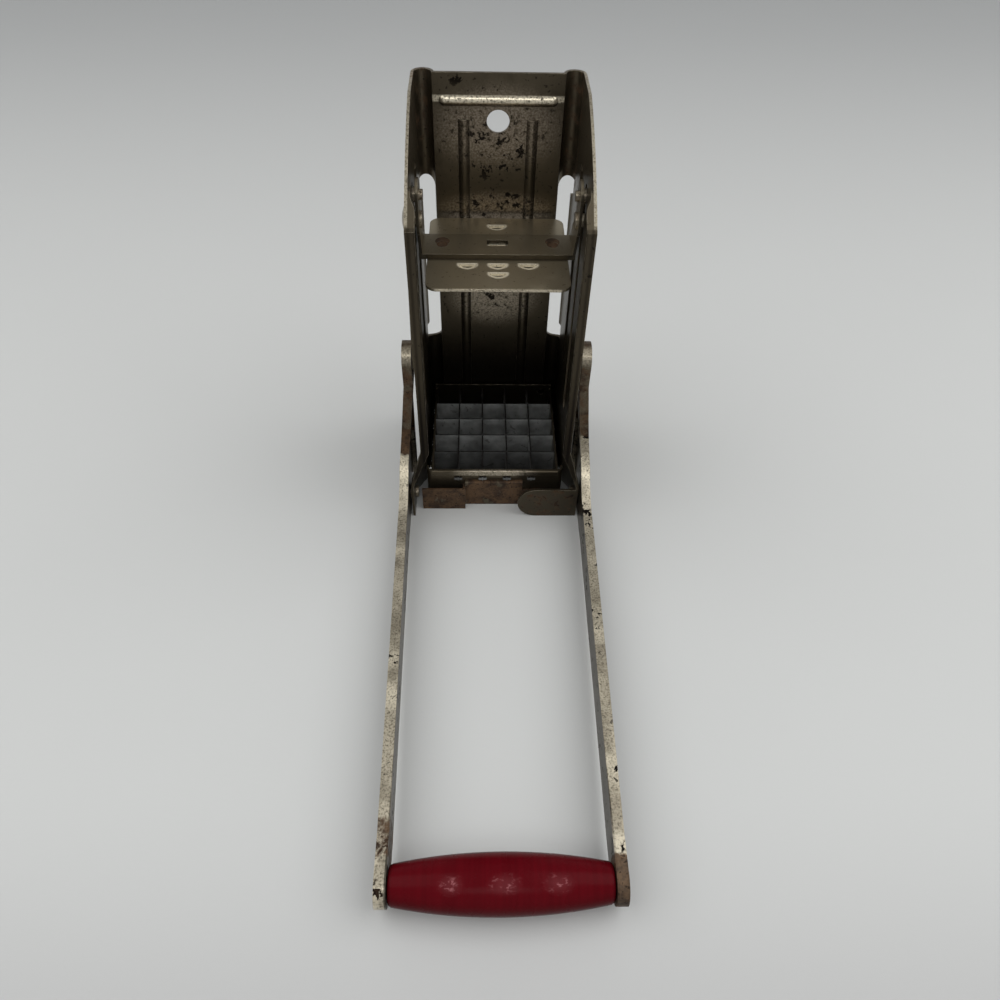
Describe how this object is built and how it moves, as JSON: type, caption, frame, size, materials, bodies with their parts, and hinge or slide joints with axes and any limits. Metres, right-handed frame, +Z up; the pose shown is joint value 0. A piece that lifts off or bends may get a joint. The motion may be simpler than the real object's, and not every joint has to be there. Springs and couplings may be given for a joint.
{
  "type": "french fry cutter",
  "caption": "Lever french fry cutter: open sheet-metal channel with a crossed-blade grid, a link-driven pusher plate, and a bail handle with a turned wooden grip.",
  "frame": {"origin": "on the surface it stands on, at the middle of its width and of its length with the handle down", "axes": "+Z up along the channel, -Y towards the grip, +X to the right seen from the grip's side"},
  "size_m": [0.0974, 0.2798, 0.194],
  "materials": {
    "aged_nickel": "aged nickel plate, tarnished olive grey with fine rust speckle and blotches",
    "bright_nickel": "aged nickel plate, champagne, worn and pitted with rust",
    "grid_steel": "dull tarnished nickel plate",
    "blade_steel": "plain grey steel, clean edges",
    "rusty_steel": "plate worn through to red-brown rust",
    "rivet_steel": "aged nickel plate, slightly bright",
    "red_lacquer": "turned wood under deep red gloss lacquer, lightly scuffed"
  },
  "bodies": {
    "channel": {"body_shell": "aged_nickel", "grid_frame": "grid_steel", "grid_apron": "rusty_steel", "blade_long_1": "blade_steel", "blade_long_2": "blade_steel", "blade_long_3": "blade_steel", "blade_long_4": "blade_steel", "blade_cross_1": "blade_steel", "blade_cross_2": "blade_steel", "blade_cross_3": "blade_steel", "blade_cross_4": "blade_steel"},
    "handle": {"handle_arm_left": "bright_nickel", "handle_arm_right": "bright_nickel", "elbow_rivet_left": "rivet_steel", "elbow_rivet_right": "rivet_steel", "pivot_rivet_left": "rivet_steel", "pivot_rivet_right": "rivet_steel", "grip_rod": "rivet_steel"},
    "grip": {"grip": "red_lacquer"},
    "pusher": {"pusher_plate": "aged_nickel", "pusher_yoke": "aged_nickel", "yoke_rivets": "rusty_steel", "link_pin_left": "rivet_steel", "link_pin_right": "rivet_steel", "guide_stud_left": "rivet_steel", "guide_stud_right": "rivet_steel"},
    "link_left": {"link_left": "aged_nickel"},
    "link_right": {"link_right": "aged_nickel"}
  },
  "joints": [
    {"name": "handle_hinge", "type": "hinge", "parent": "channel", "child": "handle", "pos_m": [0, 0.06905, 0.008], "axis": [-1, 0, 0], "range_deg": [0, 73.34]},
    {"name": "pusher_slide", "type": "slide", "parent": "channel", "child": "pusher", "axis": [0, 0, -1], "range_m": [0, 0.1012]},
    {"name": "link_left_hinge", "type": "hinge", "parent": "pusher", "child": "link_left", "pos_m": [-0.0381, 0.09355, 0.151], "axis": [1, 0, 0], "range_deg": [0, 73]},
    {"name": "link_right_hinge", "type": "hinge", "parent": "pusher", "child": "link_right", "pos_m": [0.0381, 0.09355, 0.151], "axis": [1, 0, 0], "range_deg": [0, 73]},
    {"name": "grip_spin", "type": "hinge", "parent": "handle", "child": "grip", "pos_m": [0, -0.12895, 0.011], "axis": [1, 0, 0], "continuous": true}
  ],
  "couplings": [
    {"joint": "pusher_slide", "follows": "handle_hinge", "m_per_rad": 0.078983},
    {"joint": "link_left_hinge", "follows": "handle_hinge", "ratio": 0.99401},
    {"joint": "link_right_hinge", "follows": "handle_hinge", "ratio": 0.99401}
  ]
}
